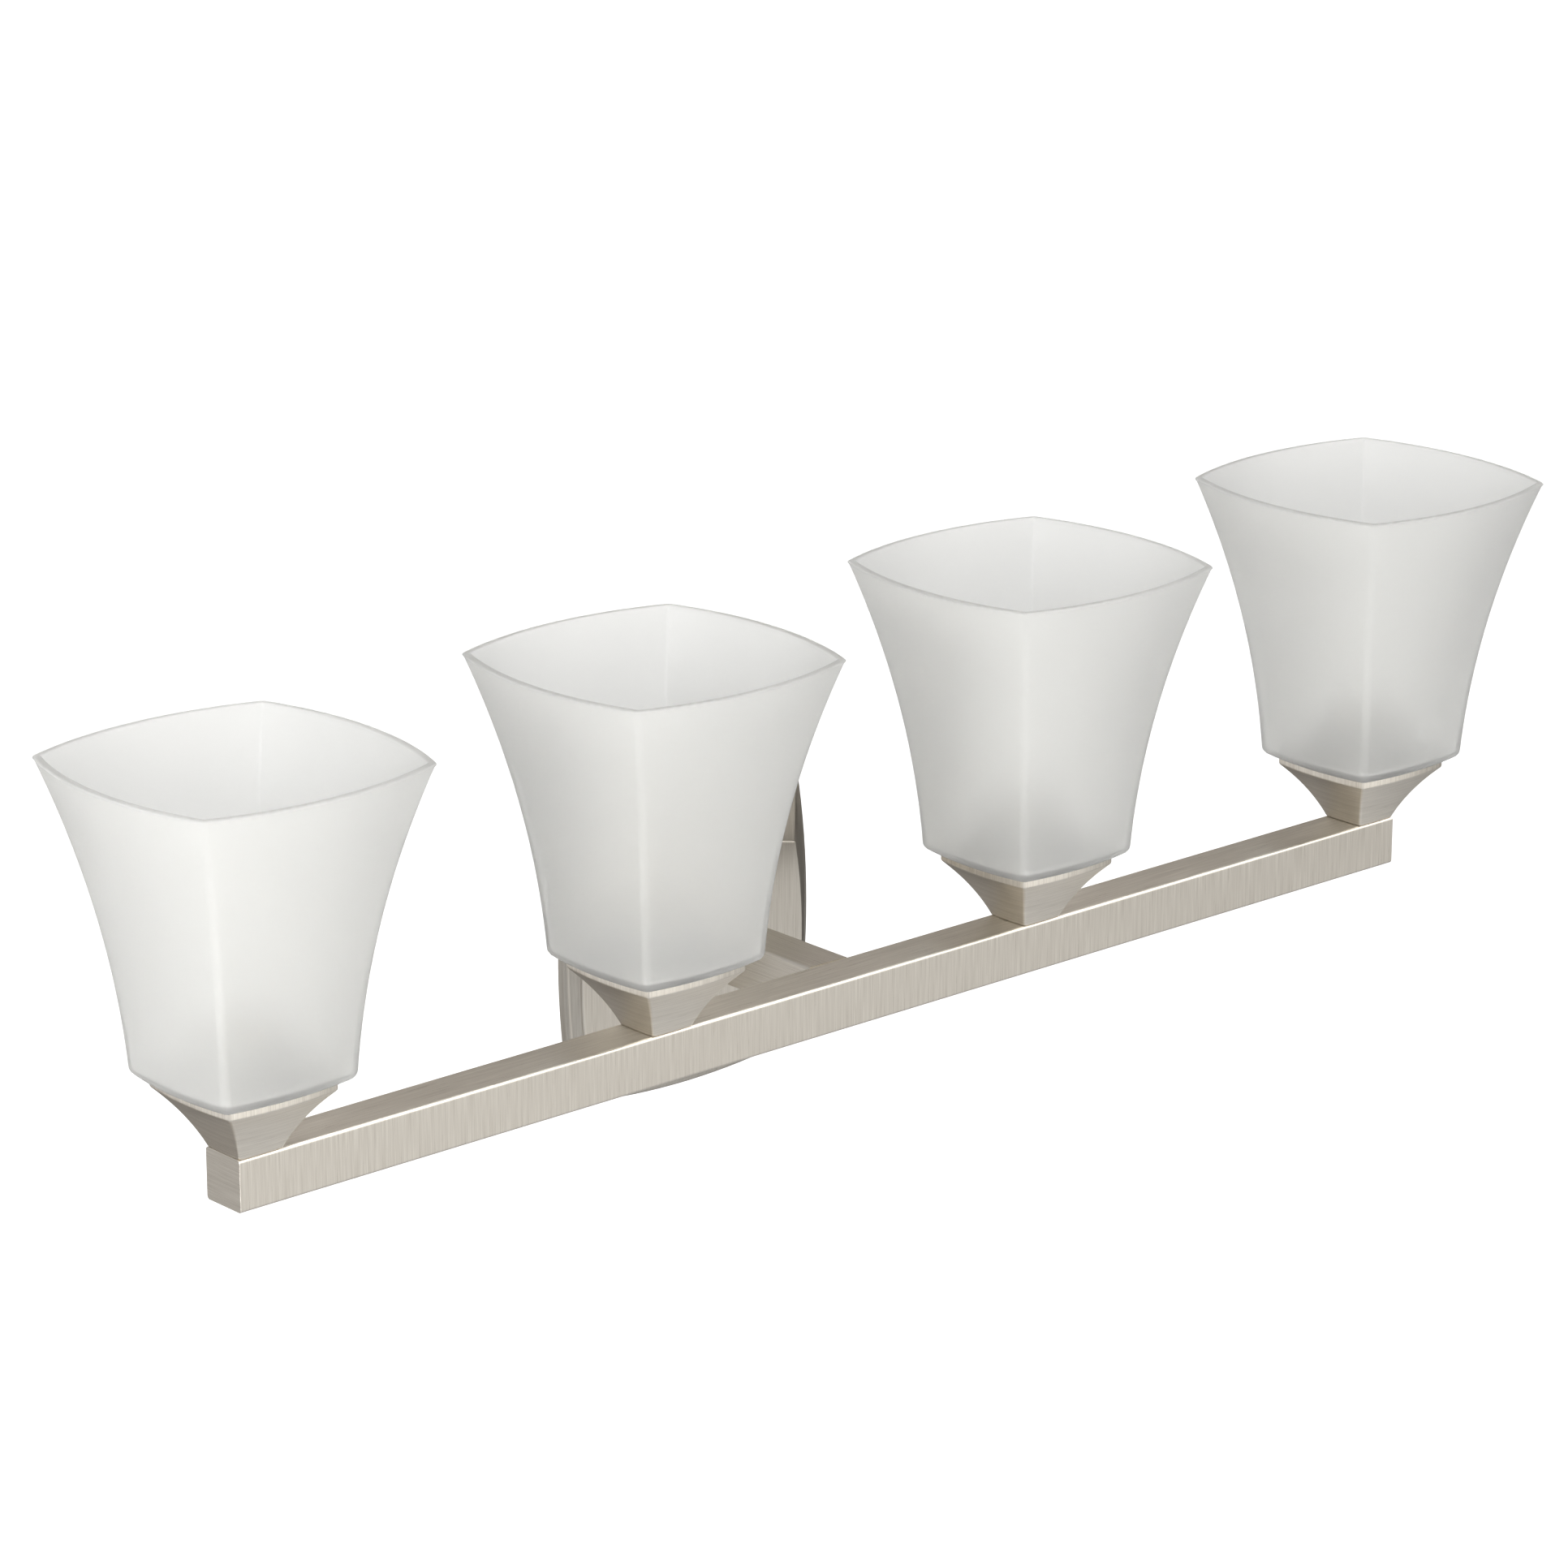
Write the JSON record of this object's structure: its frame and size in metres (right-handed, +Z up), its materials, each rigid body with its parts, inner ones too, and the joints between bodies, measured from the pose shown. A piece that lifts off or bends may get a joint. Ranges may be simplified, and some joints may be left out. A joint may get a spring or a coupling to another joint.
{
  "type": "vanity light bar",
  "caption": "Wall light with a straight square bar on a square bowed canopy; flared square etched-glass shades stand upright on flared holders along the bar.",
  "frame": {"origin": "centre of the wall canopy's back plane, on the wall", "axes": "+X along the bar to the viewer's right, +Y into the wall, +Z up"},
  "size_m": [0.8742, 0.1982, 0.2734],
  "materials": {
    "brushed_nickel": "satin brushed nickel plate, fine straight grain",
    "etched_glass": "white satin-etched glass, polished rim",
    "grey_phenolic": "moulded grey heat-proof phenolic",
    "nickel_plated_brass": "nickel-plated brass, rolled thread",
    "spring_brass": "bare spring brass",
    "grey_fibre": "pressed grey fibre",
    "zinc_plated_steel": "bright zinc plate",
    "green_steel": "green plated steel",
    "bare_copper": "bare copper",
    "black_insulation": "black wire insulation",
    "white_insulation": "white wire insulation",
    "tinned_copper": "tinned copper sleeve",
    "orange_plastic": "moulded orange plastic"
  },
  "bodies": {
    "root": {"arm": "brushed_nickel", "arm_front_insert": "zinc_plated_steel", "arm_front_lock_washer": "zinc_plated_steel", "arm_front_nipple": "zinc_plated_steel", "arm_front_nut": "zinc_plated_steel", "arm_rear_insert": "zinc_plated_steel", "arm_screws": "zinc_plated_steel", "bus_lead_black": "black_insulation", "bus_lead_white": "white_insulation", "canopy": "brushed_nickel", "canopy_studs": "zinc_plated_steel", "cap_nuts": "brushed_nickel", "crimp_sleeves": "tinned_copper", "end_cap_left": "brushed_nickel", "end_cap_right": "brushed_nickel", "ground_lead": "bare_copper", "ground_screw": "green_steel", "holder_lock_washers": "zinc_plated_steel", "lamp_nipples": "zinc_plated_steel", "light_bar": "brushed_nickel", "mounting_strap": "zinc_plated_steel", "nipple_nuts": "zinc_plated_steel", "shade_holder_1": "brushed_nickel", "shade_holder_2": "brushed_nickel", "shade_holder_3": "brushed_nickel", "shade_holder_4": "brushed_nickel", "socket_body_1": "grey_phenolic", "socket_body_2": "grey_phenolic", "socket_body_3": "grey_phenolic", "socket_body_4": "grey_phenolic", "socket_contact_1": "spring_brass", "socket_contact_2": "spring_brass", "socket_contact_3": "spring_brass", "socket_contact_4": "spring_brass", "socket_shell_1": "nickel_plated_brass", "socket_shell_2": "nickel_plated_brass", "socket_shell_3": "nickel_plated_brass", "socket_shell_4": "nickel_plated_brass", "supply_lead_black": "black_insulation", "supply_lead_white": "white_insulation", "tap_leads_black": "black_insulation", "tap_leads_white": "white_insulation", "wire_connectors": "orange_plastic"},
    "shade_1": {"glass_shade_1": "etched_glass"},
    "ring_seat_1": {"shade_washer_1": "grey_fibre"},
    "ring_1": {"shade_ring_1": "grey_phenolic"},
    "shade_2": {"glass_shade_2": "etched_glass"},
    "ring_seat_2": {"shade_washer_2": "grey_fibre"},
    "ring_2": {"shade_ring_2": "grey_phenolic"},
    "shade_3": {"glass_shade_3": "etched_glass"},
    "ring_seat_3": {"shade_washer_3": "grey_fibre"},
    "ring_3": {"shade_ring_3": "grey_phenolic"},
    "shade_4": {"glass_shade_4": "etched_glass"},
    "ring_seat_4": {"shade_washer_4": "grey_fibre"},
    "ring_4": {"shade_ring_4": "grey_phenolic"}
  },
  "joints": [
    {"name": "shade_1_lift", "type": "slide", "parent": "root", "child": "shade_1", "axis": [0, 0, 1], "range_m": [0, 0.06]},
    {"name": "ring_1_rise", "type": "slide", "parent": "shade_1", "child": "ring_seat_1", "axis": [0, 0, 1], "range_m": [0, 0.0202]},
    {"name": "ring_1_turn", "type": "hinge", "parent": "ring_seat_1", "child": "ring_1", "pos_m": [-0.36195, -0.123, 0.0545], "axis": [0, 0, 1], "range_deg": [0, 2880]},
    {"name": "shade_2_lift", "type": "slide", "parent": "root", "child": "shade_2", "axis": [0, 0, 1], "range_m": [0, 0.06]},
    {"name": "ring_2_rise", "type": "slide", "parent": "shade_2", "child": "ring_seat_2", "axis": [0, 0, 1], "range_m": [0, 0.0202]},
    {"name": "ring_2_turn", "type": "hinge", "parent": "ring_seat_2", "child": "ring_2", "pos_m": [-0.12065, -0.123, 0.0545], "axis": [0, 0, 1], "range_deg": [0, 2880]},
    {"name": "shade_3_lift", "type": "slide", "parent": "root", "child": "shade_3", "axis": [0, 0, 1], "range_m": [0, 0.06]},
    {"name": "ring_3_rise", "type": "slide", "parent": "shade_3", "child": "ring_seat_3", "axis": [0, 0, 1], "range_m": [0, 0.0202]},
    {"name": "ring_3_turn", "type": "hinge", "parent": "ring_seat_3", "child": "ring_3", "pos_m": [0.12065, -0.123, 0.0545], "axis": [0, 0, 1], "range_deg": [0, 2880]},
    {"name": "shade_4_lift", "type": "slide", "parent": "root", "child": "shade_4", "axis": [0, 0, 1], "range_m": [0, 0.06]},
    {"name": "ring_4_rise", "type": "slide", "parent": "shade_4", "child": "ring_seat_4", "axis": [0, 0, 1], "range_m": [0, 0.0202]},
    {"name": "ring_4_turn", "type": "hinge", "parent": "ring_seat_4", "child": "ring_4", "pos_m": [0.36195, -0.123, 0.0545], "axis": [0, 0, 1], "range_deg": [0, 2880]}
  ],
  "couplings": [
    {"joint": "ring_1_rise", "follows": "ring_1_turn", "m_per_rad": 0.00039789},
    {"joint": "ring_2_rise", "follows": "ring_2_turn", "m_per_rad": 0.00039789},
    {"joint": "ring_3_rise", "follows": "ring_3_turn", "m_per_rad": 0.00039789},
    {"joint": "ring_4_rise", "follows": "ring_4_turn", "m_per_rad": 0.00039789}
  ]
}
